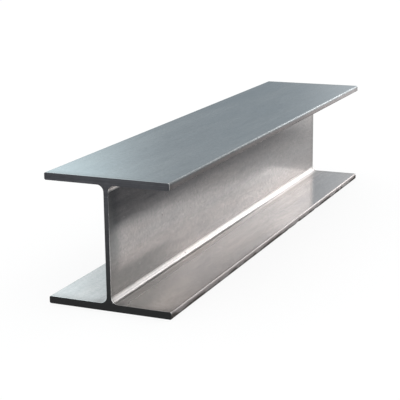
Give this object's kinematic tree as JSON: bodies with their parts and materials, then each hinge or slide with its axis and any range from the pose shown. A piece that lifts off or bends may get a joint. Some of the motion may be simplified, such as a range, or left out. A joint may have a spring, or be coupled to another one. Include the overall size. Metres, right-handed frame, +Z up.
{
  "type": "steel h-beam",
  "caption": "Short length of hot-rolled wide-flange steel H section with parallel flanges, filleted roots and square-sawn ends, for posts, lintels and frames.",
  "frame": {"origin": "middle of the lower flange's underside, halfway along the length", "axes": "+Y along the length, +Z up through the web towards the upper flange, +X across the flanges"},
  "size_m": [0.25, 1.175, 0.25],
  "materials": {
    "rolled_steel": "hot-rolled mill finish, satin blue-grey scale outside and warmer grey inside, dark sawn ends"
  },
  "bodies": {
    "root": {"h_beam": "rolled_steel"}
  },
  "joints": []
}
